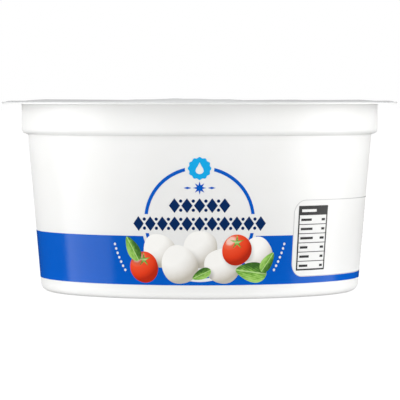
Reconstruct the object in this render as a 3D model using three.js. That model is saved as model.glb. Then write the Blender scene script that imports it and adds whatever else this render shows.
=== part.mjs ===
// A shut round tub of small mozzarella balls: a white moulded tub with a tall collar under its flange,
// and a peel-off lidding film sealed over the mouth. Both pieces are turned about the tub's axis.
// Millimetres, +Z up. The origin is the centre of the foot, on the surface that the tub stands on.
// The front, where the tub is decorated, faces -Y.

import * as THREE from "three";

// Whole pack
const LID_DIAMETER = 105;
const FLANGE_DIAMETER = 104.6;
const COLLAR_DIAMETER = 94.3;
const TUB_HEIGHT = 49.75;

// Tub wall, which leans out from the foot to the collar
const FOOT_DIAMETER = 83.8; // where the wall's line meets the ground, before the foot is rounded
const WALL_LEAN = THREE.MathUtils.degToRad(4.95);
const FOOT_FILLET = 2.2;

// Underside: the tub stands on a narrow ring round a shallow recess
const FOOT_RING_WIDTH = 2.4;
const RECESS_DEPTH = 1.2;
const RECESS_SLOPE = 1.4;
const GATE_RADIUS = 3.2; // the round boss that the moulding gate leaves in the middle
const GATE_BOSS = 0.4;

// Collar, its sloping shoulder, and the thin flange over it
const SHOULDER_HEIGHT = 41.3;
const SHOULDER_RISE = 0.6;
const COLLAR_FILLET = 1.2;
const FLANGE_THICKNESS = 0.4;
const FLANGE_ROUNDING = 0.12;
const FLANGE_ROOT_FILLET = 0.3;

// Lidding film: thin on the flange, lifted and gently buckled inside the seal
const FILM_THICKNESS = 0.3; // with the slight waves that it has all round
const FILM_EDGE = 0.12;
const SEAL_RADIUS = 51;
const CROWN_RADIUS = 42;
const CROWN_RISE = 0.43;
const BUCKLES = [
  { height: 0.26, around: 3, turn: 4.55 },
  { height: 0.32, around: 4, turn: 0.88 },
  { height: 0.12, around: 12, turn: 0.15 },
];

// Facets
const SEGMENTS = 96;
const FILLET_STEPS = 5;
const FILM_RINGS = 13;

const outwardAt = (height) =>
  FOOT_DIAMETER / 2 + height * Math.tan(WALL_LEAN);

// Points of the arc that rounds the corner between two straight stretches.
function fillet(before, corner, after, radius, steps = FILLET_STEPS) {
  const back = before.clone().sub(corner).normalize();
  const ahead = after.clone().sub(corner).normalize();
  const half = Math.acos(THREE.MathUtils.clamp(back.dot(ahead), -1, 1)) / 2;
  const middle = back.clone().add(ahead).normalize();
  const centre = corner.clone().addScaledVector(middle, radius / Math.sin(half));
  const start = corner.clone().addScaledVector(back, radius / Math.tan(half)).sub(centre);
  const end = corner.clone().addScaledVector(ahead, radius / Math.tan(half)).sub(centre);
  const turn = Math.atan2(start.cross(end), start.dot(end));
  return Array.from({ length: steps + 1 }, (_, i) =>
    start
      .clone()
      .rotateAround(new THREE.Vector2(), (turn * i) / steps)
      .add(centre),
  );
}

// The tub's outline from the middle of its underside to the middle of its closed mouth.
function tubOutline() {
  const at = (radius, height) => new THREE.Vector2(radius, height);
  const collar = COLLAR_DIAMETER / 2;
  const flange = FLANGE_DIAMETER / 2;
  const flangeUnder = TUB_HEIGHT - FLANGE_THICKNESS;

  const footCorner = at(outwardAt(0), 0);
  const wallTop = at(outwardAt(SHOULDER_HEIGHT), SHOULDER_HEIGHT);
  const shoulderCorner = at(collar, SHOULDER_HEIGHT + SHOULDER_RISE);
  const flangeRoot = at(collar, flangeUnder);
  const flangeLow = at(flange, flangeUnder);
  const flangeHigh = at(flange, TUB_HEIGHT);
  const mouth = at(0, TUB_HEIGHT);

  const foot = fillet(mouth.clone().setY(0), footCorner, wallTop, FOOT_FILLET);
  const ringInside = foot[0].x - FOOT_RING_WIDTH;

  return [
    at(0, RECESS_DEPTH - GATE_BOSS),
    at(GATE_RADIUS - GATE_BOSS, RECESS_DEPTH - GATE_BOSS),
    at(GATE_RADIUS, RECESS_DEPTH),
    at(ringInside - RECESS_SLOPE, RECESS_DEPTH),
    at(ringInside, 0),
    ...foot,
    wallTop,
    ...fillet(wallTop, shoulderCorner, flangeRoot, COLLAR_FILLET),
    ...fillet(shoulderCorner, flangeRoot, flangeLow, FLANGE_ROOT_FILLET, 3),
    ...fillet(flangeRoot, flangeLow, flangeHigh, FLANGE_ROUNDING, 3),
    ...fillet(flangeLow, flangeHigh, mouth, FLANGE_ROUNDING, 3),
    mouth,
  ];
}

// How high the film's upper face stands above the flange at a radius and an angle.
function filmRise(radius, angle) {
  const inside = 1 - THREE.MathUtils.smoothstep(radius, CROWN_RADIUS, SEAL_RADIUS);
  const share = radius / SEAL_RADIUS;
  const loose = share * share * inside; // the buckles die out towards the middle and at the seal
  const waves = BUCKLES.reduce(
    (sum, { height, around, turn }) => sum + height * Math.cos(around * angle + turn),
    0,
  );
  return FILM_THICKNESS + CROWN_RISE * inside + loose * waves;
}

function turned(outline) {
  return new THREE.LatheGeometry(outline, SEGMENTS).rotateX(Math.PI / 2);
}

function makeTub() {
  const tub = new THREE.Mesh(
    turned(tubOutline()),
    new THREE.MeshStandardMaterial({ color: 0xf3f3f1, roughness: 0.32, metalness: 0 }),
  );
  tub.name = "tub";
  return tub;
}

// A flat disc with a fine edge, whose upper face is then lifted to the film's shape.
function makeLidFilm() {
  const lid = LID_DIAMETER / 2;
  const flange = FLANGE_DIAMETER / 2;
  const rings = Array.from(
    { length: FILM_RINGS + 1 },
    (_, i) => new THREE.Vector2(flange * (1 - i / FILM_RINGS), TUB_HEIGHT + FILM_THICKNESS),
  );
  const geometry = turned([
    new THREE.Vector2(0, TUB_HEIGHT),
    new THREE.Vector2(flange, TUB_HEIGHT),
    new THREE.Vector2(lid, TUB_HEIGHT),
    new THREE.Vector2(lid, TUB_HEIGHT + FILM_EDGE),
    ...rings,
  ]);

  const places = geometry.attributes.position;
  for (let i = 0; i < places.count; i++) {
    if (places.getZ(i) < TUB_HEIGHT + (FILM_EDGE + FILM_THICKNESS) / 2) continue;
    const radius = Math.hypot(places.getX(i), places.getY(i));
    const angle = Math.atan2(places.getY(i), places.getX(i));
    places.setZ(i, TUB_HEIGHT + filmRise(radius, angle));
  }
  geometry.computeVertexNormals();

  const film = new THREE.Mesh(
    geometry,
    new THREE.MeshStandardMaterial({ color: 0xe9eaeb, roughness: 0.38, metalness: 0 }),
  );
  film.name = "lid_film";
  return film;
}

const pack = new THREE.Group();
pack.name = "mozzarella_tub";
pack.add(makeTub(), makeLidFilm());

export default pack;
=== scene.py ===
"""A shut round tub of small mozzarella balls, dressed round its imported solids.

The white tub and its lidding film are turned forms. The print is drawn flat, in millimetres along the
wall and up it, as one closed piece for each ink, and is then wrapped onto the wall.
"""

import cmath
import math
import random

import bpy
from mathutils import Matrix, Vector
from mathutils.geometry import delaunay_2d_cdt


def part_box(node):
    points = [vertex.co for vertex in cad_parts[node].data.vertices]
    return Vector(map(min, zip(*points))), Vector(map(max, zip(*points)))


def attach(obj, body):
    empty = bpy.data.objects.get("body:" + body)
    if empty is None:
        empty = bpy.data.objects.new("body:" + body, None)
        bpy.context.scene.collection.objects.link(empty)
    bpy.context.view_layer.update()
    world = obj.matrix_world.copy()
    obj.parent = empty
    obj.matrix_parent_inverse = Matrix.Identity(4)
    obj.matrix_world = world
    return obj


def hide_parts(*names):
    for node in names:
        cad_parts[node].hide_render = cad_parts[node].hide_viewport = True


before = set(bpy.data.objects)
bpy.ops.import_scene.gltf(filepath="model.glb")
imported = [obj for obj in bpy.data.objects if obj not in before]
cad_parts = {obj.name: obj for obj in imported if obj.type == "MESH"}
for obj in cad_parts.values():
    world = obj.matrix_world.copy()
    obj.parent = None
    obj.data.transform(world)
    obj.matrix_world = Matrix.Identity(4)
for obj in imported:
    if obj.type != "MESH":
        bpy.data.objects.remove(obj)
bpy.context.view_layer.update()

MM = 0.001

# Sizes in millimetres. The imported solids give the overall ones.
FLANGE_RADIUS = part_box("tub")[1].x / MM
TUB_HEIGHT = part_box("tub")[1].z / MM
LID_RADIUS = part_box("lid_film")[1].x / MM

# Wall and foot
FOOT_RADIUS = 41.9  # where the wall's line meets the floor
WALL_LEAN = math.radians(4.95)
WALL_SLOPE = math.tan(WALL_LEAN)
FOOT_FILLET = 2.2
FOOT_RING_WIDTH = 2.4
FOOT_RING_ROUNDING = 0.5
RECESS_DEPTH = 1.2
RECESS_SLOPE = 1.4
RECESS_ROUNDING = 0.6
GATE_RADIUS = 3.2  # the round boss that the moulding gate leaves in the middle
GATE_BOSS = 0.4
GATE_ROUNDING = 0.15

# Collar, its sloping shoulder, and the thin flange
COLLAR_RADIUS = 47.15
SHOULDER_HEIGHT = 41.3
SHOULDER_RISE = 0.6
SHOULDER_ROUNDING = 0.15
COLLAR_FILLET = 1.2
FLANGE_THICKNESS = 0.4
FLANGE_ROUNDING = 0.08
FLANGE_ROOT_FILLET = 0.3

# Lidding film
FILM_THICKNESS = 0.14
FILM_EDGE = 0.1
FILM_CHAMFER = 0.04
SEAL_RADIUS = 51  # the film is sealed down outside this, and crowned inside the next
CROWN_RADIUS = 42
CROWN_RISE = 0.46
BUCKLES = [(0.3, 3, 4.5), (0.31, 4, 1.03), (0.13, 5, 1.82)]  # height, waves around, turn
WRINKLE_HEIGHT = 0.16
WRINKLE_SIZE = 15
WRINKLE_AT_SEAL = 0.25  # the share of the wrinkles that is left at the seal
PLEAT_HEIGHT = 0.4  # fine pleats run inwards from the seal
PLEAT_TOP = 0.7  # where in the noise their crests lie, so that they only sink into the crown
PLEAT_COUNT = 9  # for each radian
PLEATS_FROM = 26
PRESSED_RADIUS = 50.3  # the ring that the sealing tool presses into the film
PRESSED_HALF_WIDTH = 0.95
PRESSED_DEPTH = 0.05
PRESSED_SLOPE = 0.25
CURL_HEIGHT = 0.36  # outside that ring the film is free, and its edge curls up behind either side
CURL_SIDES = [(0.08, 0.22), (0.74, 0.5)]  # where the curl starts and is full: sine of the angle

# Fineness of the turned forms
SEGMENTS = 288
ARC_STEPS = 8
BESIDE_ARC = 0.06  # the stretch beside each arc that is kept straight
FILM_RING_STEP = 0.9
TURNED_WELD = 0.001  # points of a turned form that are nearer become one

# Print
PRINT_TOP = 40
PRINT_RADIUS = FOOT_RADIUS + PRINT_TOP / 2 * WALL_SLOPE  # the wall's radius at the print's middle
INK_TOP = 0.04
INK_UNDER = -0.02
STRIP = 1.4  # no triangle of the print is wider, so that it follows the wall
CUT_NEARNESS = 1e-5  # points of the flat print that are nearer become one
PRINT_WELD = 0.0005  # and so do those of the wrapped print, which closes it where its ends meet
END_NEARNESS = 1e-3  # an edge of the print that is nearer to an end lies on it
WALL_FACING = 0.8  # faces that look along the wall's own direction by more than this are lit like it
BAND = (3.7, 16.1)
SEAM_AZIMUTH = -90  # the print's ends meet on the plain side

scene = bpy.context.scene


# Helpers


def srgb(code):
    """A hex colour as linear red, green, blue and alpha."""
    parts = [int(code[i : i + 2], 16) / 255 for i in (1, 3, 5)]
    return tuple(c / 12.92 if c <= 0.04045 else ((c + 0.055) / 1.055) ** 2.4 for c in parts) + (1,)


def add(tree, kind, inputs=None, **settings):
    """Adds a node. An input takes a value, an output, or a node, which stands for its first output."""
    made = tree.nodes.new(kind)
    for name, value in settings.items():
        setattr(made, name, value)
    for name, value in (inputs or {}).items():
        if isinstance(value, bpy.types.Node):
            value = value.outputs[0]
        if isinstance(value, bpy.types.NodeSocket):
            tree.links.new(value, made.inputs[name])
        else:
            made.inputs[name].default_value = value
    return made


def set_ramp(ramp_node, stops):
    """Gives a colour ramp its stops, as (position, hex colour)."""
    ramp = ramp_node.color_ramp
    while len(ramp.elements) < len(stops):
        ramp.elements.new(0.5)
    for element, (position, code) in zip(ramp.elements, stops):
        element.position = position
        element.color = srgb(code)
    return ramp_node


def new_material(name):
    """An empty material, its tree, and its Principled shader."""
    material = bpy.data.materials.new(name)
    material.use_nodes = True
    return material, material.node_tree, material.node_tree.nodes["Principled BSDF"]


def new_geometry_tree(name, **inputs):
    """A tree of Geometry Nodes with a geometry input and the given ones, and its group input."""
    tree = bpy.data.node_groups.new(name, "GeometryNodeTree")
    tree.interface.new_socket("Geometry", in_out="INPUT", socket_type="NodeSocketGeometry")
    for label, kind in inputs.items():
        tree.interface.new_socket(label, in_out="INPUT", socket_type="NodeSocket" + kind)
    tree.interface.new_socket("Geometry", in_out="OUTPUT", socket_type="NodeSocketGeometry")
    return tree, add(tree, "NodeGroupInput")


def finish_tree(tree, group_in, shape):
    """Ends a tree: smooth faces, real geometry, the material from the group's input."""
    smooth = add(tree, "GeometryNodeSetShadeSmooth", {"Geometry": shape})
    real = add(tree, "GeometryNodeRealizeInstances", {"Geometry": smooth})
    painted = add(
        tree,
        "GeometryNodeSetMaterial",
        {"Geometry": real, "Material": group_in.outputs["Material"]},
    )
    add(tree, "NodeGroupOutput", {"Geometry": painted})
    return tree


def grown(name, mesh, *steps):
    """Runs a mesh through trees, each with its inputs' values, and keeps the plain result as a piece."""
    piece = bpy.data.objects.new(name, mesh)
    scene.collection.objects.link(piece)
    for tree, values in steps:
        modifier = piece.modifiers.new(tree.name, "NODES")
        modifier.node_group = tree
        for item in tree.interface.items_tree:
            if item.in_out == "INPUT" and item.name in values:
                modifier[item.identifier] = values[item.name]
    made = piece.evaluated_get(bpy.context.evaluated_depsgraph_get())
    plain = bpy.data.meshes.new_from_object(made)
    piece.modifiers.clear()
    piece.data = plain
    plain.name = name
    return piece


# Camera, lights and floor

EYE_HEIGHT = 49.6  # the photograph looks straight at the edge of the flange
EYE_DISTANCE = 785
LOOK_DOWN = 1.88  # degrees
LENS = 266
EYE_ACROSS = 0.1

FLOOR_SIZE = 40  # metres, so that its far edge lies on the horizon
FLOOR_GAP = 0.05

# The foot of the white tent, as the tub sees it: grey levels from the front (0) round by the sides to
# the back (1), with a dark gap behind each softbox
TENT_ROUND = [
    (0.0, "#EFEFEF"),
    (0.5, "#EBEBEB"),
    (0.68, "#303030"),
    (0.87, "#202020"),
    (0.93, "#A0A0A0"),
    (0.97, "#C8C8C8"),
]

# The zones of the tent over and under that: the heights of direction that each fades between, and how
# bright it is. Gloss on the leaning wall looks just under the table's level, into a dark gap.
TENT_ZONES = [
    (0.14, 0.2, 0.72),
    (0.38, 0.5, 1.15),
    (0.7, 0.8, 0.55),
    (0.01, -0.01, 0.03),
    (-0.3, -0.6, 0.6),
]
TENT_BACK = 0.6  # how bright its back is, as a share of its front
TENT_DIMS = (0.55, 0.85)  # where it fades to that: from the front (0) to the back (1)

# Softboxes: azimuth from the front to the right in degrees, height, width and length in metres, watts,
# and whether gloss shows them
SOFTBOX_DISTANCE = 1.0
SOFTBOXES = {
    "left softbox": (-85, 0.09, 0.8, 0.8, 6.6, True),
    "right softbox": (90, 0.09, 0.8, 0.8, 4.75, True),
    "right fill": (52, 0.35, 0.6, 0.4, 1.1, False),
    "left edge light": (-130, 0.3, 0.8, 0.6, 3, False),
    "right edge light": (130, 0.3, 0.8, 0.6, 3.5, False),
}

# The lit table: its tone, the grey levels of its glow on the tub, by the millimetres from the axis, with
# the tub's own shadow as the dark ones, how bright the whitest is, and its glow to the camera
TABLE_TONE = "#707070"
TABLE_GLOW = [
    (41, "#ACACAC"),
    (43, "#E6E6E6"),
    (47, "#E6E6E6"),
    (53, "#989898"),
    (110, "#A8A8A8"),
    (150, "#FFFFFF"),
]
TABLE_GLOW_WHITEST = 1.3
TABLE_GLOW_SEEN = 0.92


def make_camera():
    """A long lens at the height of the flange."""
    camera = bpy.data.objects.new("camera", bpy.data.cameras.new("camera"))
    camera.data.lens = LENS
    camera.data.sensor_width = 36
    camera.data.clip_start = 0.05
    camera.data.clip_end = 2 * FLOOR_SIZE
    camera.location = Vector((EYE_ACROSS, -EYE_DISTANCE, EYE_HEIGHT)) * MM
    camera.rotation_euler = (math.radians(90 - LOOK_DOWN), 0, 0)
    scene.collection.objects.link(camera)
    scene.camera = camera


def make_softbox(name, azimuth, height, wide, tall, watts, in_gloss):
    """An area light that faces the tub."""
    light = bpy.data.lights.new(name, "AREA")
    light.shape = "RECTANGLE"
    light.size = wide
    light.size_y = tall
    light.energy = watts
    turn = math.radians(azimuth)
    box = bpy.data.objects.new(name, light)
    box.location = (SOFTBOX_DISTANCE * math.sin(turn), -SOFTBOX_DISTANCE * math.cos(turn), height)
    aim = Vector((0, 0, TUB_HEIGHT / 2 * MM)) - box.location
    box.rotation_euler = aim.to_track_quat("-Z", "Y").to_euler()
    box.visible_camera = False
    box.visible_glossy = in_gloss
    scene.collection.objects.link(box)


def make_world():
    """A white tent with a bright roof. The camera sees it plain white."""
    world = bpy.data.worlds.new("white tent")
    world.use_nodes = True
    tree = world.node_tree
    direction = add(tree, "ShaderNodeTexCoord").outputs["Generated"]
    height = add(tree, "ShaderNodeSeparateXYZ", {0: direction}).outputs["Z"]
    level = add(tree, "ShaderNodeVectorMath", {0: direction, 1: (1, 1, 0)}, operation="MULTIPLY")
    heading = add(tree, "ShaderNodeVectorMath", {0: level}, operation="NORMALIZE")
    backward = add(tree, "ShaderNodeSeparateXYZ", {0: heading}).outputs["Y"]
    turned = add(tree, "ShaderNodeMapRange", {"Value": backward, "From Min": -1, "From Max": 1})
    tent = set_ramp(add(tree, "ShaderNodeValToRGB", {0: turned}), TENT_ROUND)
    for start, full, strength in TENT_ZONES:
        share = add(
            tree,
            "ShaderNodeMapRange",
            {"Value": height, "From Min": start, "From Max": full},
        )
        tent = add(
            tree,
            "ShaderNodeMix",
            {0: share, 6: tent, 7: (strength, strength, strength, 1)},
            data_type="RGBA",
        ).outputs[2]
    dims_from, dims_to = TENT_DIMS
    dimming = add(
        tree,
        "ShaderNodeMapRange",
        {"Value": turned, "From Min": dims_from, "From Max": dims_to, "To Min": 1, "To Max": TENT_BACK},
    )
    tent = add(tree, "ShaderNodeVectorMath", {0: tent, "Scale": dimming}, operation="SCALE")
    path = add(tree, "ShaderNodeLightPath").outputs["Is Camera Ray"]
    seen = add(tree, "ShaderNodeMix", {0: path, 6: tent, 7: srgb("#FFFFFF")}, data_type="RGBA")
    tree.links.new(seen.outputs[2], tree.nodes["Background"].inputs["Color"])
    scene.world = world


def make_floor():
    """A white table that is lit from inside. It throws less light on the tub than the camera sees."""
    half = FLOOR_SIZE / 2
    corners = [(-half, -half), (half, -half), (half, half), (-half, half)]
    mesh = bpy.data.meshes.new("floor")
    mesh.from_pydata([(x, y, -FLOOR_GAP * MM) for x, y in corners], [], [(0, 1, 2, 3)])
    floor = bpy.data.objects.new("floor", mesh)
    material, tree, shader = new_material("lit white table")
    place = add(tree, "ShaderNodeTexCoord").outputs["Object"]
    away = add(tree, "ShaderNodeVectorMath", {0: place}, operation="LENGTH").outputs["Value"]
    reach = TABLE_GLOW[-1][0]
    share = add(tree, "ShaderNodeMath", {0: away, 1: reach * MM}, operation="DIVIDE")
    glow = add(tree, "ShaderNodeValToRGB", {0: share})
    set_ramp(glow, [(distance / reach, code) for distance, code in TABLE_GLOW])
    light = add(tree, "ShaderNodeMath", {0: glow, 1: TABLE_GLOW_WHITEST}, operation="MULTIPLY")
    path = add(tree, "ShaderNodeLightPath").outputs["Is Camera Ray"]
    seen = add(tree, "ShaderNodeMix", {0: path, 2: light, 3: TABLE_GLOW_SEEN}, data_type="FLOAT")
    tree.links.new(seen.outputs[0], shader.inputs["Emission Strength"])
    shader.inputs["Emission Color"].default_value = srgb("#FFFFFF")
    shader.inputs["Base Color"].default_value = srgb(TABLE_TONE)
    shader.inputs["Roughness"].default_value = 0.9
    shader.inputs["Specular IOR Level"].default_value = 0.0
    mesh.materials.append(material)
    floor.visible_glossy = False  # gloss on the tub looks past the table, at the softboxes
    scene.collection.objects.link(floor)


def make_stage():
    """The floor, the lights and the camera."""
    make_camera()
    make_world()
    make_floor()
    for name, values in SOFTBOXES.items():
        make_softbox(name, *values)
    scene.view_settings.view_transform = "Standard"


# Materials

# The unevenness of each surface: how far apart it lies and how deep its bumps are, in millimetres
PEEL_SIZE = 1.6
PEEL_DEPTH = 0.012
HAZE_SIZE = 14
CREASE_SIZE = 3.5
CREASE_DEPTH = 0.04
MOTTLE_SIZE = 2.5

INK_IOR = 1.5
INK_GLOSS = 0.16  # the ink soaks up some of the gloss of bare plastic
DRAWN_ROUGHNESS = 0.28  # the drawn things' ink lies a little less smoothly


def moulded_polypropylene():
    """Moulded polypropylene: dense white with a little light inside, satin, and faintly uneven."""
    material, tree, shader = new_material("moulded white polypropylene")
    place = add(tree, "ShaderNodeTexCoord").outputs["Object"]
    peel = add(
        tree,
        "ShaderNodeTexNoise",
        {"Vector": place, "Scale": 1 / (PEEL_SIZE * MM), "Detail": 2},
    )
    haze = add(
        tree,
        "ShaderNodeTexNoise",
        {"Vector": place, "Scale": 1 / (HAZE_SIZE * MM), "Detail": 3},
    )
    tint = add(tree, "ShaderNodeValToRGB", {0: haze})
    set_ramp(tint, [(0.3, "#EBEBE9"), (0.7, "#EEEEED")])
    rough = add(tree, "ShaderNodeMapRange", {"Value": haze, "To Min": 0.29, "To Max": 0.36})
    bump = add(
        tree,
        "ShaderNodeBump",
        {"Height": peel, "Strength": 0.25, "Distance": PEEL_DEPTH * MM},
    )
    tree.links.new(tint.outputs[0], shader.inputs["Base Color"])
    tree.links.new(rough.outputs[0], shader.inputs["Roughness"])
    tree.links.new(bump.outputs[0], shader.inputs["Normal"])
    shader.inputs["IOR"].default_value = 1.49
    shader.inputs["Subsurface Weight"].default_value = 0.12
    shader.inputs["Subsurface Radius"].default_value = (1.0, 0.95, 0.9)
    shader.inputs["Subsurface Scale"].default_value = 1.5 * MM
    return material


def coated_lidding_film():
    """Coated polyester film: cool white, thin, with a soft sheen broken by fine creases."""
    material, tree, shader = new_material("coated lidding film")
    place = add(tree, "ShaderNodeTexCoord").outputs["Object"]
    crease = add(
        tree,
        "ShaderNodeTexNoise",
        {"Vector": place, "Scale": 1 / (CREASE_SIZE * MM), "Detail": 5, "Distortion": 1.2},
    )
    tint = add(tree, "ShaderNodeValToRGB", {0: crease})
    set_ramp(tint, [(0.3, "#EEEFF0"), (0.7, "#F0F1F2")])
    rough = add(tree, "ShaderNodeMapRange", {"Value": crease, "To Min": 0.16, "To Max": 0.22})
    bump = add(
        tree,
        "ShaderNodeBump",
        {"Height": crease, "Strength": 0.5, "Distance": CREASE_DEPTH * MM},
    )
    tree.links.new(tint.outputs[0], shader.inputs["Base Color"])
    tree.links.new(rough.outputs[0], shader.inputs["Roughness"])
    tree.links.new(bump.outputs[0], shader.inputs["Normal"])
    shader.inputs["IOR"].default_value = 1.57
    return material


def gloss_ink(name, code):
    """Gloss offset ink on plastic: an even colour with the faint mottle of the blanket that laid it."""
    material, tree, shader = new_material(name)
    place = add(tree, "ShaderNodeTexCoord").outputs["Object"]
    mottle = add(
        tree,
        "ShaderNodeTexNoise",
        {"Vector": place, "Scale": 1 / (MOTTLE_SIZE * MM), "Detail": 2},
    )
    shade = add(tree, "ShaderNodeMapRange", {"Value": mottle, "To Min": 0.97, "To Max": 1.03})
    tint = add(
        tree,
        "ShaderNodeVectorMath",
        {0: srgb(code)[:3], "Scale": shade},
        operation="SCALE",
    )
    rough = add(tree, "ShaderNodeMapRange", {"Value": mottle, "To Min": 0.15, "To Max": 0.2})
    tree.links.new(tint.outputs[0], shader.inputs["Base Color"])
    tree.links.new(rough.outputs[0], shader.inputs["Roughness"])
    shader.inputs["IOR"].default_value = INK_IOR
    shader.inputs["Specular IOR Level"].default_value = INK_GLOSS
    return material


DRAWN_LIGHT = Vector((-0.42, 0.62, 0.66)).normalized()  # across, up the wall, and out of it
ROUND_GRAIN = 2.2  # the noise in a drawn thing, by its own half size
LEAF_GRAIN = 2.4
SHADOW_DEPTH = 0.66  # the share of light that a drawn shadow leaves
SHADOW_CORE = 0.6  # the share of its reach over which it is that deep


def in_drawn_shadow(tree, tint):
    """Darkens a drawn thing's colour where a thing in front of it throws its soft shadow."""
    local = add(tree, "ShaderNodeUVMap", uv_map="shadow")
    away = add(tree, "ShaderNodeVectorMath", {0: local}, operation="LENGTH").outputs["Value"]
    light = add(
        tree,
        "ShaderNodeMapRange",
        {"Value": away, "From Min": SHADOW_CORE, "To Min": SHADOW_DEPTH},
        interpolation_type="SMOOTHSTEP",
    )
    return add(tree, "ShaderNodeVectorMath", {0: tint, "Scale": light}, operation="SCALE")


def drawn_round_ink(name, stops, marbling):
    """Ink that draws a round thing: each one is shaded as a dome that is lit from the upper left."""
    material, tree, shader = new_material(name)
    local = add(tree, "ShaderNodeUVMap", uv_map="drawing")
    squared = add(tree, "ShaderNodeVectorMath", {0: local, 1: local}, operation="DOT_PRODUCT")
    above = add(
        tree,
        "ShaderNodeMath",
        {0: 1.0, 1: squared.outputs["Value"]},
        operation="SUBTRACT",
        use_clamp=True,
    )
    depth = add(tree, "ShaderNodeMath", {0: above}, operation="SQRT")
    axes = add(tree, "ShaderNodeSeparateXYZ", {0: local})
    dome = add(
        tree,
        "ShaderNodeCombineXYZ",
        {"X": axes.outputs["X"], "Y": axes.outputs["Y"], "Z": depth},
    )
    lit = add(tree, "ShaderNodeVectorMath", {0: dome, 1: DRAWN_LIGHT}, operation="DOT_PRODUCT")
    grain = add(tree, "ShaderNodeTexNoise", {"Vector": local, "Scale": ROUND_GRAIN, "Detail": 3})
    stirred = add(
        tree,
        "ShaderNodeMath",
        {0: grain, 1: marbling, 2: lit.outputs["Value"]},
        operation="MULTIPLY_ADD",
    )
    tint = add(tree, "ShaderNodeValToRGB", {0: stirred})
    set_ramp(tint, stops)
    tree.links.new(in_drawn_shadow(tree, tint).outputs[0], shader.inputs["Base Color"])
    shader.inputs["Roughness"].default_value = DRAWN_ROUGHNESS
    shader.inputs["IOR"].default_value = INK_IOR
    shader.inputs["Specular IOR Level"].default_value = INK_GLOSS
    return material


VEIN_SLANT = -1.6
VEIN_PITCH = 19.0  # radians of the veins' wave for each half length of the leaf
VEIN_DEPTH = 0.1
LIGHTER_HALF = 0.42
MIDRIB = (0.03, 0.09)  # how far it is pale, and where it ends, in half widths


def drawn_leaf_ink():
    """Ink that draws a leaf: one half lighter, a pale midrib, and side veins that slant to the tip."""
    material, tree, shader = new_material("drawn leaf ink")
    local = add(tree, "ShaderNodeUVMap", uv_map="drawing")
    axes = add(tree, "ShaderNodeSeparateXYZ", {0: local})
    across = add(tree, "ShaderNodeMath", {0: axes.outputs["Y"]}, operation="ABSOLUTE")
    slanted = add(
        tree,
        "ShaderNodeMath",
        {0: across, 1: VEIN_SLANT, 2: axes.outputs["X"]},
        operation="MULTIPLY_ADD",
    )
    wave = add(tree, "ShaderNodeMath", {0: slanted, 1: VEIN_PITCH}, operation="MULTIPLY")
    veins = add(tree, "ShaderNodeMath", {0: wave}, operation="SINE")
    grain = add(tree, "ShaderNodeTexNoise", {"Vector": local, "Scale": LEAF_GRAIN, "Detail": 3})
    half = add(
        tree,
        "ShaderNodeMath",
        {0: axes.outputs["Y"], 1: LIGHTER_HALF, 2: grain},
        operation="MULTIPLY_ADD",
    )
    tone = add(tree, "ShaderNodeMath", {0: veins, 1: VEIN_DEPTH, 2: half}, operation="MULTIPLY_ADD")
    tint = add(tree, "ShaderNodeValToRGB", {0: tone})
    set_ramp(tint, [(0.2, "#3A6627"), (0.45, "#5F9438"), (0.62, "#85B94C"), (0.85, "#A6D070")])
    rib = add(
        tree,
        "ShaderNodeMapRange",
        {"Value": across, "From Min": MIDRIB[0], "From Max": MIDRIB[1], "To Min": 1, "To Max": 0},
    )
    ribbed = add(
        tree,
        "ShaderNodeMix",
        {0: rib, 6: tint, 7: srgb("#B5D88A")},
        data_type="RGBA",
    ).outputs[2]
    tree.links.new(in_drawn_shadow(tree, ribbed).outputs[0], shader.inputs["Base Color"])
    shader.inputs["Roughness"].default_value = DRAWN_ROUGHNESS
    shader.inputs["IOR"].default_value = INK_IOR
    shader.inputs["Specular IOR Level"].default_value = INK_GLOSS
    return material


# Turned forms: the tub and the film


def rounded(corners):
    """An outline's points. Each corner is (across, up, rounding), and the ends aren't rounded."""
    places = [complex(across, up) for across, up, _ in corners]
    points = [places[0]]
    for before, corner, after, (_, _, radius) in zip(places, places[1:], places[2:], corners[1:]):
        back = (before - corner) / abs(before - corner)
        ahead = (after - corner) / abs(after - corner)
        half = abs(cmath.phase(ahead / back)) / 2
        reach = radius / math.tan(half)
        centre = corner + (back + ahead) / abs(back + ahead) * radius / math.sin(half)
        start = corner + back * reach - centre
        turn = cmath.phase((corner + ahead * reach - centre) / start)
        points.append(corner + back * (reach + BESIDE_ARC))
        points += [centre + start * cmath.exp(1j * turn * i / ARC_STEPS) for i in range(ARC_STEPS + 1)]
        points.append(corner + ahead * (reach + BESIDE_ARC))
    return points + [places[-1]]


def outline_mesh(name, points):
    """An outline as loose points, in the plane through the axis."""
    mesh = bpy.data.meshes.new(name)
    mesh.from_pydata([(p.real * MM, 0, p.imag * MM) for p in points], [], [])
    return mesh


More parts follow.
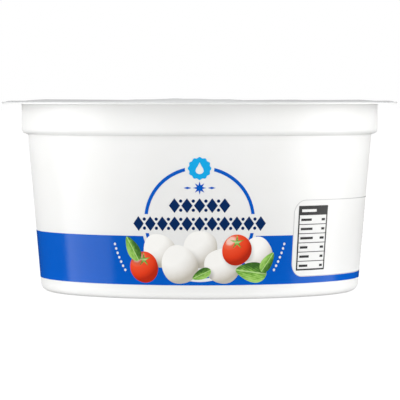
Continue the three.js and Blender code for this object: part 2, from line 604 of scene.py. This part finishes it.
def turning_tree():
    """Turns an outline about Z: a grid with a column for each step takes the outline's points."""
    tree, group_in = new_geometry_tree(
        "turn about the axis", Segments="Int", Weld="Float", Material="Material"
    )
    outline = group_in.outputs["Geometry"]
    size = add(tree, "GeometryNodeAttributeDomainSize", {"Geometry": outline})
    columns = add(tree, "ShaderNodeMath", {0: group_in.outputs["Segments"], 1: 1.0})
    grid = add(
        tree,
        "GeometryNodeMeshGrid",
        {"Vertices X": columns, "Vertices Y": size.outputs["Point Count"]},
    )
    index = add(tree, "GeometryNodeInputIndex")
    middle = add(tree, "ShaderNodeMath", {0: index, 1: 0.5})
    shares = add(
        tree,
        "ShaderNodeMath",
        {0: middle, 1: size.outputs["Point Count"]},
        operation="DIVIDE",
    )
    column = add(tree, "ShaderNodeMath", {0: shares}, operation="FLOOR")
    before = add(
        tree,
        "ShaderNodeMath",
        {0: column, 1: size.outputs["Point Count"]},
        operation="MULTIPLY",
    )
    row = add(tree, "ShaderNodeMath", {0: index, 1: before}, operation="SUBTRACT")
    place = add(tree, "GeometryNodeInputPosition")
    point = add(
        tree,
        "GeometryNodeSampleIndex",
        {"Geometry": outline, "Value": place, "Index": row},
        data_type="FLOAT_VECTOR",
    )
    step = add(
        tree,
        "ShaderNodeMath",
        {0: math.tau, 1: group_in.outputs["Segments"]},
        operation="DIVIDE",
    )
    angle = add(tree, "ShaderNodeMath", {0: column, 1: step}, operation="MULTIPLY")
    turned = add(
        tree,
        "ShaderNodeVectorRotate",
        {"Vector": point, "Angle": angle},
        rotation_type="Z_AXIS",
    )
    placed = add(tree, "GeometryNodeSetPosition", {"Geometry": grid, "Position": turned})
    whole = add(
        tree,
        "GeometryNodeMergeByDistance",
        {"Geometry": placed, "Distance": group_in.outputs["Weld"]},
    )
    return finish_tree(tree, group_in, whole)


def film_lift_tree():
    """Lifts the film's upper face: crown, buckles, wrinkles, pleats. Then curls up its free edge."""
    sizes = ["Underside", "Seal", "Crown", "Rise", "Wrinkle", "Spacing", "Pleats", "Pleats From"]
    sizes += ["Pleat", "Ring", "Pressed", "Unpressed", "Depth", "Free From", "Edge", "Curl"]
    tree, group_in = new_geometry_tree(
        "lift and buckle the film",
        **{size: "Float" for size in sizes},
        Material="Material",
    )
    place = add(tree, "GeometryNodeInputPosition")
    axes = add(tree, "ShaderNodeSeparateXYZ", {0: place})
    flat = add(tree, "ShaderNodeCombineXYZ", {"X": axes.outputs["X"], "Y": axes.outputs["Y"]})
    radius = add(tree, "ShaderNodeVectorMath", {0: flat}, operation="LENGTH")
    angle = add(
        tree,
        "ShaderNodeMath",
        {0: axes.outputs["Y"], 1: axes.outputs["X"]},
        operation="ARCTAN2",
    )
    inside = add(
        tree,
        "ShaderNodeMapRange",
        {
            "Value": radius.outputs["Value"],
            "From Min": group_in.outputs["Crown"],
            "From Max": group_in.outputs["Seal"],
            "To Min": 1.0,
            "To Max": 0.0,
        },
        interpolation_type="SMOOTHSTEP",
    )
    share = add(
        tree,
        "ShaderNodeMath",
        {0: radius.outputs["Value"], 1: group_in.outputs["Seal"]},
        operation="DIVIDE",
    )
    squared = add(tree, "ShaderNodeMath", {0: share, 1: 2.0}, operation="POWER")
    waves = 0.0
    for height, around, turn in BUCKLES:
        phase = add(
            tree,
            "ShaderNodeMath",
            {0: angle, 1: float(around), 2: turn},
            operation="MULTIPLY_ADD",
        )
        wave = add(tree, "ShaderNodeMath", {0: phase}, operation="COSINE")
        waves = add(
            tree,
            "ShaderNodeMath",
            {0: wave, 1: height * MM, 2: waves},
            operation="MULTIPLY_ADD",
        )
    lifted = add(
        tree,
        "ShaderNodeMath",
        {0: waves, 1: squared, 2: group_in.outputs["Rise"]},
        operation="MULTIPLY_ADD",
    )
    crown = add(tree, "ShaderNodeMath", {0: lifted, 1: inside}, operation="MULTIPLY")

    scale = add(
        tree,
        "ShaderNodeMath",
        {0: 1.0, 1: group_in.outputs["Spacing"]},
        operation="DIVIDE",
    )
    noise = add(tree, "ShaderNodeTexNoise", {"Vector": flat, "Scale": scale, "Detail": 3.0})
    centred = add(tree, "ShaderNodeMath", {0: noise, 1: 0.5}, operation="SUBTRACT")
    loose = add(
        tree,
        "ShaderNodeMapRange",
        {
            "Value": radius.outputs["Value"],
            "From Min": group_in.outputs["Crown"],
            "From Max": group_in.outputs["Seal"],
            "To Min": 1.0,
            "To Max": WRINKLE_AT_SEAL,
        },
    )
    height = add(
        tree,
        "ShaderNodeMath",
        {0: loose, 1: group_in.outputs["Wrinkle"]},
        operation="MULTIPLY",
    )
    wrinkled = add(
        tree,
        "ShaderNodeMath",
        {0: centred, 1: height, 2: crown},
        operation="MULTIPLY_ADD",
    )

    heading = add(tree, "ShaderNodeVectorMath", {0: flat}, operation="NORMALIZE")
    pleats = add(
        tree,
        "ShaderNodeTexNoise",
        {"Vector": heading, "Scale": group_in.outputs["Pleats"], "Detail": 1.0},
    )
    pleat = add(tree, "ShaderNodeMath", {0: pleats, 1: PLEAT_TOP}, operation="SUBTRACT")
    near_seal = add(
        tree,
        "ShaderNodeMapRange",
        {
            "Value": radius.outputs["Value"],
            "From Min": group_in.outputs["Pleats From"],
            "From Max": group_in.outputs["Crown"],
            "To Min": 0.0,
            "To Max": group_in.outputs["Pleat"],
        },
        interpolation_type="SMOOTHSTEP",
    )
    raised = add(tree, "ShaderNodeMath", {0: near_seal, 1: inside}, operation="MULTIPLY")
    pleated = add(
        tree,
        "ShaderNodeMath",
        {0: pleat, 1: raised, 2: wrinkled},
        operation="MULTIPLY_ADD",
    )

    from_ring = add(
        tree,
        "ShaderNodeMath",
        {0: radius.outputs["Value"], 1: group_in.outputs["Ring"]},
        operation="SUBTRACT",
    )
    beside = add(tree, "ShaderNodeMath", {0: from_ring}, operation="ABSOLUTE")
    press = add(
        tree,
        "ShaderNodeMapRange",
        {
            "Value": beside,
            "From Min": group_in.outputs["Pressed"],
            "From Max": group_in.outputs["Unpressed"],
            "To Min": group_in.outputs["Depth"],
            "To Max": 0.0,
        },
    )
    up = add(tree, "ShaderNodeMath", {0: pleated, 1: press}, operation="SUBTRACT")
    upper = add(
        tree,
        "FunctionNodeCompare",
        {"A": axes.outputs["Z"], "B": group_in.outputs["Underside"]},
        data_type="FLOAT",
        operation="GREATER_THAN",
    )
    offset = add(tree, "ShaderNodeCombineXYZ", {"Z": up})
    placed = add(
        tree,
        "GeometryNodeSetPosition",
        {"Geometry": group_in.outputs["Geometry"], "Selection": upper, "Offset": offset},
    )

    behind = add(tree, "ShaderNodeMath", {0: angle}, operation="SINE")
    curl = add(
        tree,
        "ShaderNodeMapRange",
        {
            "Value": radius.outputs["Value"],
            "From Min": group_in.outputs["Free From"],
            "From Max": group_in.outputs["Edge"],
            "To Min": 0.0,
            "To Max": group_in.outputs["Curl"],
        },
        interpolation_type="SMOOTHSTEP",
    )
    for start, full in CURL_SIDES:
        side = add(
            tree,
            "ShaderNodeMapRange",
            {"Value": behind, "From Min": start, "From Max": full},
            interpolation_type="SMOOTHSTEP",
        )
        curl = add(tree, "ShaderNodeMath", {0: curl, 1: side}, operation="MULTIPLY")
    curl_up = add(tree, "ShaderNodeCombineXYZ", {"Z": curl})
    curled = add(tree, "GeometryNodeSetPosition", {"Geometry": placed, "Offset": curl_up})
    return finish_tree(tree, group_in, curled)


TURN = turning_tree()
TURNED = {"Segments": SEGMENTS, "Weld": TURNED_WELD * MM}


def make_tub(material):
    """The tub, from the middle of its underside round to the middle of its closed mouth."""
    foot_reach = FOOT_FILLET * math.tan((math.pi / 2 - WALL_LEAN) / 2)
    ring_inside = FOOT_RADIUS - foot_reach - FOOT_RING_WIDTH
    under = TUB_HEIGHT - FLANGE_THICKNESS
    wall_top = FOOT_RADIUS + SHOULDER_HEIGHT * WALL_SLOPE
    outline = rounded(
        [
            (0, RECESS_DEPTH - GATE_BOSS, 0),
            (GATE_RADIUS - GATE_BOSS, RECESS_DEPTH - GATE_BOSS, GATE_ROUNDING),
            (GATE_RADIUS, RECESS_DEPTH, GATE_ROUNDING),
            (ring_inside - RECESS_SLOPE, RECESS_DEPTH, RECESS_ROUNDING),
            (ring_inside, 0, FOOT_RING_ROUNDING),
            (FOOT_RADIUS, 0, FOOT_FILLET),
            (wall_top, SHOULDER_HEIGHT, SHOULDER_ROUNDING),
            (COLLAR_RADIUS, SHOULDER_HEIGHT + SHOULDER_RISE, COLLAR_FILLET),
            (COLLAR_RADIUS, under, FLANGE_ROOT_FILLET),
            (FLANGE_RADIUS, under, FLANGE_ROUNDING),
            (FLANGE_RADIUS, TUB_HEIGHT, FLANGE_ROUNDING),
            (0, TUB_HEIGHT, 0),
        ]
    )
    mesh = outline_mesh("tub outline", outline)
    return grown("white_tub", mesh, (TURN, {**TURNED, "Material": material}))


def make_film(material):
    """The film: a flat underside, a fine edge past the flange, and a close-ringed upper face."""
    low, high = TUB_HEIGHT, TUB_HEIGHT + FILM_THICKNESS
    edge_top = low + FILM_EDGE
    rings = int(FLANGE_RADIUS / FILM_RING_STEP)
    free_from = PRESSED_RADIUS + PRESSED_HALF_WIDTH
    outline = [
        complex(0, low),
        complex(free_from, low),
        complex((free_from + FLANGE_RADIUS) / 2, low),
        complex(FLANGE_RADIUS, low),
        complex(LID_RADIUS - FILM_CHAMFER, low),
        complex(LID_RADIUS, low + FILM_CHAMFER),
        complex(LID_RADIUS, edge_top - FILM_CHAMFER),
        complex(LID_RADIUS - FILM_CHAMFER, edge_top),
    ]
    radii = [FLANGE_RADIUS * (1 - i / rings) for i in range(rings + 1)]
    pressed_flat = PRESSED_HALF_WIDTH - PRESSED_SLOPE
    for reach in (pressed_flat, PRESSED_HALF_WIDTH):
        radii += [PRESSED_RADIUS - reach, PRESSED_RADIUS + reach]
    outline += [complex(radius, high) for radius in sorted(radii, reverse=True)]
    mesh = outline_mesh("film outline", outline)
    lift = {
        "Pleats": float(PLEAT_COUNT),
        "Pleats From": PLEATS_FROM * MM,
        "Pleat": PLEAT_HEIGHT * MM,
        "Ring": PRESSED_RADIUS * MM,
        "Pressed": pressed_flat * MM,
        "Unpressed": PRESSED_HALF_WIDTH * MM,
        "Depth": PRESSED_DEPTH * MM,
        "Free From": free_from * MM,
        "Edge": LID_RADIUS * MM,
        "Curl": CURL_HEIGHT * MM,
        "Underside": (edge_top + high) / 2 * MM,
        "Seal": SEAL_RADIUS * MM,
        "Crown": CROWN_RADIUS * MM,
        "Rise": CROWN_RISE * MM,
        "Wrinkle": WRINKLE_HEIGHT * MM,
        "Spacing": WRINKLE_SIZE * MM,
        "Material": material,
    }
    return grown(
        "sealed_film",
        mesh,
        (TURN, {**TURNED, "Material": material}),
        (film_lift_tree(), lift),
    )


# Print: outlines are drawn flat, in millimetres along the wall and up it, and anticlockwise


def along(azimuth):
    """The millimetres along the wall from the front to an azimuth in degrees."""
    return math.radians(azimuth) * PRINT_RADIUS


def angles(count):
    """Evenly spaced angles round a circle."""
    return [math.tau * i / count for i in range(count)]


def circle(centre, radius, points=64):
    """A circle's outline."""
    return [centre + cmath.rect(radius, angle) for angle in angles(points)]


CORNER_STEPS = 8


def box(left, low, right, high, corner=0.0):
    """A rectangle's outline, its corners rounded if they have a radius."""
    spots = [complex(right, low), complex(right, high), complex(left, high), complex(left, low)]
    if not corner:
        return spots
    points = []
    for turn, spot, inward in zip((-90, 0, 90, 180), spots, (-1 + 1j, -1 - 1j, 1 - 1j, 1 + 1j)):
        centre = spot + inward * corner
        turns = [math.radians(turn + 90 * i / CORNER_STEPS) for i in range(CORNER_STEPS + 1)]
        points += [centre + cmath.rect(corner, angle) for angle in turns]
    return points


def diamond(centre, half_wide, half_high):
    """A diamond's outline."""
    return [centre + half_wide, centre + 1j * half_high, centre - half_wide, centre - 1j * half_high]


def star(centre, tips, outer, inner, turn=90):
    """A star's outline, with one tip at the turn, in degrees."""
    return [
        centre + cmath.rect(inner if i % 2 else outer, math.radians(turn + 180 * i / tips))
        for i in range(2 * tips)
    ]


def scalloped(centre, radius, lobes, depth):
    """A round badge's outline with a wavy edge."""
    return [
        centre + cmath.rect(radius + depth * math.cos(lobes * angle), angle)
        for angle in angles(6 * lobes)
    ]


DROP_PINCH = 0.75  # how far a drop narrows towards its point
DROP_STRETCH = 0.55  # and how far it is drawn out to it


def drop(centre, radius):
    """A drop's outline: round below, pointed above."""
    points = []
    for angle in angles(40):
        pinch = math.cos((angle - math.pi / 2) / 2) ** 2
        across = radius * math.cos(angle) * (1 - DROP_PINCH * pinch**2)
        up = radius * math.sin(angle) * (1 + DROP_STRETCH * pinch**4)
        points.append(centre + complex(across, up))
    return points


BALL_WAVES = [(2, 0.045), (3, 0.028), (5, 0.009)]  # how a soft ball is out of round: waves, and depth
TOMATO_WAVES = [(2, 0.02), (3, 0.014)]


def soft_round(centre, radius, waves, rng):
    """The outline of a soft round thing, out of round by a few shallow waves."""
    turns = [rng.uniform(0, math.tau) for _ in waves]
    points = []
    for angle in angles(56):
        swell = sum(depth * math.cos(count * angle + turn) for (count, depth), turn in zip(waves, turns))
        points.append(centre + cmath.rect(radius * (1 + swell), angle))
    return points


LEAF_TAPER = 0.32  # how much narrower a leaf is towards its tip
LEAF_POINT = 0.15  # how finely its ends close


def leaf(centre, half_long, half_wide, turn):
    """A leaf's outline, with its stem end opposite the turn, in degrees."""
    heading = cmath.rect(1, math.radians(turn))
    points = []
    for angle in angles(36):
        u = math.cos(angle)
        v = math.sin(angle) * (1 - LEAF_TAPER * u) * abs(math.sin(angle)) ** LEAF_POINT
        points.append(centre + complex(u * half_long, v * half_wide) * heading)
    return points


def drawing(ink, outline, centre=0j, size=(1, 1), turn=0):
    """A shape of one ink. The centre, half sizes and turn give the drawing's own coordinates."""
    return {"ink": ink, "outline": outline, "centre": centre, "size": size, "turn": turn}


def in_drawing(spot, shape):
    """A point of the print in a shape's own coordinates."""
    place = (spot - shape["centre"]) * cmath.rect(1, -math.radians(shape["turn"]))
    return place.real / shape["size"][0], place.imag / shape["size"][1]


SHADOW_FALL = 0.45 - 0.75j  # how far a drawn thing's shadow falls beside it
SHADOW_SPREAD = 0.9  # and how far it reaches past its edge
NO_SHADOW = (9.0, 9.0)  # a place that no shadow reaches, in its own coordinates


def shadow_of(centre, size, turn=0):
    """The soft shadow that a drawn thing throws on the drawn things behind it."""
    centre += SHADOW_FALL
    half_long, half_wide = (half + SHADOW_SPREAD for half in size)
    heading = cmath.rect(1, math.radians(turn))
    outline = [
        centre + complex(p.real * half_long, p.imag * half_wide) * heading for p in circle(0j, 1, 40)
    ]
    return drawing("shadow", outline, centre, (half_long, half_wide), turn)


RING_CENTRE = 19.6j
RING_RADIUS = 14.2
RING_LINE = 0.85
RING_GAP = 0.85
BADGE_HEIGHT = 33.2
BADGE_RADIUS = 2.9
BADGE_GAP = 0.7
BADGE_WAVES = (12, 0.15)  # how many, and how deep
DROP_RADIUS = 1.15
DROP_FALL = 0.25j  # how far the drop's middle lies under the badge's
STAR_HEIGHT = 28.3
STAR = (8, 1.65, 0.72)  # tips, and the outer and inner radius
SIDE_DIAMOND = (0.95, 0.3)
SIDE_DIAMOND_REACH = 3.0
ROWS = [(23.85, 2), (19.25, 5)]  # height, and diamonds on each side of the middle
DIAMOND = (1.4, 1.85)
DIAMOND_PITCH = 3.15
ROW_DOT = 0.42
ROW_DOT_RISE = 0.62  # in half heights of a diamond
ROW_CLEAR = 0.55

BALL_DOME = 1.06  # the shaded dome's radius, by the drawn thing's
TOMATO_DOME = 1.03
STALK = (5, 0.5, 0.13)  # tips, and the outer and inner radius, by the tomato's
STALK_RISE = 0.5
BALLS = [
    (-10.3, 12.4, 4.3),
    (0.2, 12.9, 4.5),
    (15.2, 11.6, 4.2),
    (-5.2, 8.9, 4.8),
    (6.1, 8.7, 4.7),
]
TOMATOES = [(9.6, 12.6, 3.9), (-14.6, 8.2, 3.9)]
LEAVES = [
    (-17.6, 12.9, 3.4, 1.7, 118),
    (0.5, 6.5, 2.6, 1.3, 205),
    (13.6, 7.0, 4.3, 2.5, 172),
    (18.0, 9.4, 2.9, 1.5, 55),
]


def front_shapes(middle, rng):
    """The ring with its badge, star and rows of diamonds, over the drawn food."""
    ring = middle + RING_CENTRE
    yield drawing(None, circle(ring, RING_RADIUS + RING_GAP, 96))
    yield drawing("blue", circle(ring, RING_RADIUS, 96))
    yield drawing(None, circle(ring, RING_RADIUS - RING_LINE, 96))

    for height, each_side in ROWS:
        reach = each_side * DIAMOND_PITCH + DIAMOND[0] + ROW_CLEAR
        tall = DIAMOND[1] + ROW_CLEAR
        centre = middle + 1j * height
        yield drawing(
            None,
            box(middle - reach, height - tall, middle + reach, height + tall),
        )
        for i in range(-each_side, each_side + 1):
            yield drawing("navy", diamond(centre + i * DIAMOND_PITCH, *DIAMOND))
        for i in range(-each_side, each_side):
            for side in (-1, 1):
                spot = centre + (i + 0.5) * DIAMOND_PITCH + 1j * side * DIAMOND[1] * ROW_DOT_RISE
                yield drawing("navy", circle(spot, ROW_DOT, 16))

    badge = middle + 1j * BADGE_HEIGHT
    lobes, depth = BADGE_WAVES
    yield drawing(None, circle(badge, BADGE_RADIUS + BADGE_GAP))
    yield drawing("sky", scalloped(badge, BADGE_RADIUS - depth, lobes, depth))
    yield drawing(None, drop(badge - DROP_FALL, DROP_RADIUS))

    icon = middle + 1j * STAR_HEIGHT
    yield drawing("blue", star(icon, *STAR))
    for side in (-1, 1):
        yield drawing("blue", diamond(icon + side * SIDE_DIAMOND_REACH, *SIDE_DIAMOND))

    for across, height, radius in BALLS:
        centre = middle + complex(across, height)
        yield shadow_of(centre, (radius, radius))
        outline = soft_round(centre, radius, BALL_WAVES, rng)
        yield drawing("cream", outline, centre, (radius * BALL_DOME, radius * BALL_DOME))
    tips, outer, inner = STALK
    for across, height, radius in TOMATOES:
        centre = middle + complex(across, height)
        yield shadow_of(centre, (radius, radius))
        outline = soft_round(centre, radius, TOMATO_WAVES, rng)
        yield drawing("red", outline, centre, (radius * TOMATO_DOME, radius * TOMATO_DOME))
        stalk = centre + 1j * radius * STALK_RISE
        outline = star(stalk, tips, radius * outer, radius * inner)
        yield drawing("green", outline, stalk, (radius, radius))
    for across, height, half_long, half_wide, turn in LEAVES:
        centre = middle + complex(across, height)
        size = (half_long, half_wide)
        yield shadow_of(centre, size, turn)
        yield drawing("green", leaf(centre, *size, turn), centre, size, turn)


PANEL = (33.15, 147)
PANEL_HEIGHTS = (5.4, 25.05)
PANEL_CORNER = 3.5
HAIRLINE = 0.2

# What is on the panel: the azimuths that each block runs between, and its heights
GRID = (35.1, 48.4)
GRID_HEIGHTS = (7.0, 23.5)
GRID_FRAME = 0.4
GRID_TUCK = 0.1  # how far inside the frame's outer edge the header and the rules end
GRID_HEADER = 2.4
GRID_TITLE = (1.0, 6.0, 0.9, 1.6)  # from the left edge, and down from the top
GRID_ROWS = 6
GRID_RULE = 0.18
GRID_MARGIN = 0.9
GRID_BAR = 0.6
GRID_WORDS = (2.4, 4.4)
GRID_NUMBERS = (1.0, 1.7)

LINES = (88, 117)
LINES_TOP = 22.6
LINE_COUNT = 15
LINE_PITCH = 1.05
LINE_BAR = 0.4
LINE_WORDS = (1.6, 5.0)
LINE_GAP = 0.6
LINE_REST = 1  # a shorter rest of a line stays bare
LAST_LINE = 0.55  # how long the last line is, by the others

BARS = (121, 142)
BARS_HEIGHTS = (8.6, 21.6)
BAR_WIDTHS = (0.25, 0.25, 0.5, 0.75)
BAR_GAPS = (0.25, 0.3, 0.5, 0.75)


def bar(left, right, height, thickness):
    """A level bar round a height."""
    return drawing("grey", box(left, height - thickness / 2, right, height + thickness / 2))


def grid_shapes(rng):
    """A plain ruled table, with bars in the place of words."""
    left, right = (along(azimuth) for azimuth in GRID)
    low, high = GRID_HEIGHTS
    yield drawing("grey", box(left, low, right, high))
    yield drawing(None, box(left + GRID_FRAME, low + GRID_FRAME, right - GRID_FRAME, high - GRID_FRAME))
    first, last = left + GRID_TUCK, right - GRID_TUCK
    yield drawing("grey", box(first, high - GRID_HEADER, last, high - GRID_TUCK))
    title_from, title_to, title_top, title_foot = GRID_TITLE
    yield drawing(None, box(left + title_from, high - title_foot, left + title_to, high - title_top))
    pitch = (high - GRID_HEADER - low) / GRID_ROWS
    for row in range(GRID_ROWS):
        floor = low + row * pitch
        if row:
            yield bar(first, last, floor, GRID_RULE)
        middle = floor + pitch / 2
        word = rng.uniform(*GRID_WORDS)
        yield bar(left + GRID_MARGIN, left + GRID_MARGIN + word, middle, GRID_BAR)
        number = rng.uniform(*GRID_NUMBERS)
        yield bar(right - GRID_MARGIN - number, right - GRID_MARGIN, middle, GRID_BAR)


def lines_shapes(rng):
    """A block of thin bars in the place of small lettering."""
    left, right = (along(azimuth) for azimuth in LINES)
    for line in range(LINE_COUNT):
        height = LINES_TOP - line * LINE_PITCH
        start = left
        end = right if line < LINE_COUNT - 1 else left + (right - left) * LAST_LINE
        while start < end - LINE_REST:
            stop = min(end, start + rng.uniform(*LINE_WORDS))
            yield bar(start, stop, height, LINE_BAR)
            start = stop + LINE_GAP


def bars_shapes(rng):
    """A block of upright bars of uneven width."""
    start, right = (along(azimuth) for azimuth in BARS)
    low, high = BARS_HEIGHTS
    while start < right:
        stop = start + rng.choice(BAR_WIDTHS)
        yield drawing("grey", box(start, low, stop, high))
        start = stop + rng.choice(BAR_GAPS)


def panel_shapes(rng):
    """The white panel that interrupts the band, with its hairline outline and what is on it."""
    left, right = (along(azimuth) for azimuth in PANEL)
    low, high = PANEL_HEIGHTS
    yield drawing("grey_line", box(left, low, right, high, PANEL_CORNER))
    inner = PANEL_CORNER - HAIRLINE
    yield drawing(
        None,
        box(left + HAIRLINE, low + HAIRLINE, right - HAIRLINE, high - HAIRLINE, inner),
    )
    yield from grid_shapes(rng)
    yield from lines_shapes(rng)
    yield from bars_shapes(rng)


DOTS = 7
DOTS_REACH = 23.4  # how far from the ring's centre
DOTS_START = -14  # degrees from level
DOTS_STEP = -2.9
DOT_RADIUS = 0.36


def dotted_arcs(middle):
    """White dots in the band, on an arc round each side of the drawn food."""
    for side in (-1, 1):
        for i in range(DOTS):
            reach = cmath.rect(DOTS_REACH, math.radians(DOTS_START + DOTS_STEP * i))
            dot = middle + RING_CENTRE + complex(side * reach.real, reach.imag)
            yield drawing(None, circle(dot, DOT_RADIUS, 14))


ARTWORK_SEED = 4


def artwork():
    """All shapes of the print, in the order they are laid."""
    rng = random.Random(ARTWORK_SEED)
    start = along(SEAM_AZIMUTH)
    end = along(SEAM_AZIMUTH + 360)
    yield drawing("blue", box(start, BAND[0], end, BAND[1]))
    yield from panel_shapes(rng)
    for azimuth in (0, 180):
        yield from dotted_arcs(along(azimuth))
        yield from front_shapes(along(azimuth), rng)


def cut_to_inks(shapes):
    """Cuts the laid shapes so that only the upper one is left where they overlap.

    Gives each ink's flat points and triangles, and the drawing's own coordinates of each corner.
    """
    points = []
    faces = []
    for shape in shapes:
        faces.append(list(range(len(points), len(points) + len(shape["outline"]))))
        points += [Vector((p.real, p.imag)) for p in shape["outline"]]
    edges = []
    start = along(SEAM_AZIMUTH)
    strips = round(math.tau * PRINT_RADIUS / STRIP)
    for i in range(strips + 1):
        across = start + math.tau * PRINT_RADIUS * i / strips
        edges.append((len(points), len(points) + 1))
        points += [Vector((across, 0)), Vector((across, PRINT_TOP))]
    spots, _, triangles, _, _, owners = delaunay_2d_cdt(points, edges, faces, 0, CUT_NEARNESS)

    inks = {}
    for triangle, owner in zip(triangles, owners):
        laid = [i for i in owner if shapes[i]["ink"] != "shadow"]
        if not laid or shapes[max(laid)]["ink"] is None:
            continue
        shape = shapes[max(laid)]
        above = [shapes[i] for i in owner if i > max(laid)]
        flat = inks.setdefault(
            shape["ink"], {"points": [], "index": {}, "faces": [], "drawing": [], "shadow": []}
        )
        face = []
        for corner in triangle:
            if corner not in flat["index"]:
                flat["index"][corner] = len(flat["points"])
                flat["points"].append(spots[corner])
            face.append(flat["index"][corner])
            spot = complex(*spots[corner])
            flat["drawing"].append(in_drawing(spot, shape))
            flat["shadow"].append(in_drawing(spot, above[-1]) if above else NO_SHADOW)
        flat["faces"].append(face)
    return inks


def flat_ink_mesh(name, flat):
    """A thin closed sheet of ink, flat and facing the front, open only where the print's ends meet."""
    count = len(flat["points"])
    ends = (along(SEAM_AZIMUTH), along(SEAM_AZIMUTH + 360))
    vertices = []
    for lift in (INK_TOP, INK_UNDER):
        vertices += [(p.x * MM, -lift * MM, p.y * MM) for p in flat["points"]]
    sides = {(a, b) for f in flat["faces"] for a, b in zip(f, f[1:] + f[:1])}
    faces = list(flat["faces"])
    faces += [[count + i for i in reversed(f)] for f in flat["faces"]]
    for a, b in sorted(sides):
        a_x, b_x = (flat["points"][i].x for i in (a, b))
        at_end = any(abs(a_x - end) + abs(b_x - end) < END_NEARNESS for end in ends)
        if (b, a) not in sides and not at_end:
            faces.append([b, a, count + a, count + b])
    mesh = bpy.data.meshes.new(name)
    mesh.from_pydata(vertices, [], faces)
    for coordinates in ("drawing", "shadow"):
        layer = mesh.uv_layers.new(name=coordinates)
        for corner, local in enumerate(flat[coordinates]):
            layer.data[corner].uv = local
    return mesh


def wrapping_tree():
    """Wraps what is drawn flat, along X and up Z, onto the leaning wall."""
    tree, group_in = new_geometry_tree(
        "wrap onto the wall",
        Foot="Float",
        Slope="Float",
        Print="Float",
        Weld="Float",
        Material="Material",
    )
    place = add(tree, "GeometryNodeInputPosition")
    axes = add(tree, "ShaderNodeSeparateXYZ", {0: place})
    azimuth = add(
        tree,
        "ShaderNodeMath",
        {0: axes.outputs["X"], 1: group_in.outputs["Print"]},
        operation="DIVIDE",
    )
    wall = add(
        tree,
        "ShaderNodeMath",
        {0: axes.outputs["Z"], 1: group_in.outputs["Slope"], 2: group_in.outputs["Foot"]},
        operation="MULTIPLY_ADD",
    )
    outward = add(
        tree,
        "ShaderNodeMath",
        {0: axes.outputs["Y"], 1: wall},
        operation="SUBTRACT",
    )
    ahead = add(tree, "ShaderNodeCombineXYZ", {"Y": outward, "Z": axes.outputs["Z"]})
    turned = add(
        tree,
        "ShaderNodeVectorRotate",
        {"Vector": ahead, "Angle": azimuth},
        rotation_type="Z_AXIS",
    )
    placed = add(
        tree,
        "GeometryNodeSetPosition",
        {"Geometry": group_in.outputs["Geometry"], "Position": turned},
    )
    whole = add(
        tree,
        "GeometryNodeMergeByDistance",
        {"Geometry": placed, "Distance": group_in.outputs["Weld"]},
    )
    return finish_tree(tree, group_in, whole)


def light_like_wall(mesh):
    """Gives the ink's faces the wall's own normals, and leaves its thin sides sharp."""
    normals = []
    for face in mesh.polygons:
        for corner in face.loop_indices:
            spot = mesh.vertices[mesh.loops[corner].vertex_index].co
            out = Vector((spot.x, spot.y, 0)).normalized()
            out.z = -WALL_SLOPE
            out.normalize()
            facing = face.normal.dot(out)
            like_wall = abs(facing) > WALL_FACING
            normals.append(out * math.copysign(1, facing) if like_wall else face.normal)
    mesh.normals_split_custom_set(normals)


CHEESE_TONES = [(0.0, "#BDB7AA"), (0.3, "#DAD6CE"), (0.6, "#EFEDE8"), (0.85, "#FBFAF6")]
TOMATO_TONES = [
    (0.05, "#B3250C"),
    (0.4, "#E03A16"),
    (0.8, "#EE4E2A"),
    (0.95, "#F26B4C"),
    (1.0, "#F9C9B8"),
]
CHEESE_MARBLING = 0.18
TOMATO_MARBLING = 0.06


def make_print():
    """One piece for each ink."""
    cheese = drawn_round_ink("drawn cheese ink", CHEESE_TONES, CHEESE_MARBLING)
    tomato = drawn_round_ink("drawn tomato ink", TOMATO_TONES, TOMATO_MARBLING)
    inks = {
        "blue": ("print_blue", gloss_ink("gloss blue ink", "#0058BE")),
        "navy": ("print_navy", gloss_ink("gloss navy ink", "#062A5C")),
        "sky": ("print_sky", gloss_ink("gloss light blue ink", "#0DA6E4")),
        "grey": ("print_grey", gloss_ink("gloss dark grey ink", "#333333")),
        "grey_line": ("print_grey", gloss_ink("gloss light grey ink", "#CFCFCF")),
        "cream": ("print_cream", cheese),
        "red": ("print_red", tomato),
        "green": ("print_green", drawn_leaf_ink()),
    }
    wrap = wrapping_tree()
    for ink, flat in cut_to_inks(list(artwork())).items():
        slot, material = inks[ink]
        piece = grown(
            ink + "_print",
            flat_ink_mesh(ink, flat),
            (
                wrap,
                {
                    "Foot": FOOT_RADIUS * MM,
                    "Slope": WALL_SLOPE,
                    "Print": PRINT_RADIUS * MM,
                    "Weld": PRINT_WELD * MM,
                    "Material": material,
                },
            ),
        )
        light_like_wall(piece.data)
        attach(piece, "root")


make_stage()

tub = make_tub(moulded_polypropylene())
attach(tub, "root")
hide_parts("tub")

film = make_film(coated_lidding_film())
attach(film, "root")
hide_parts("lid_film")

make_print()
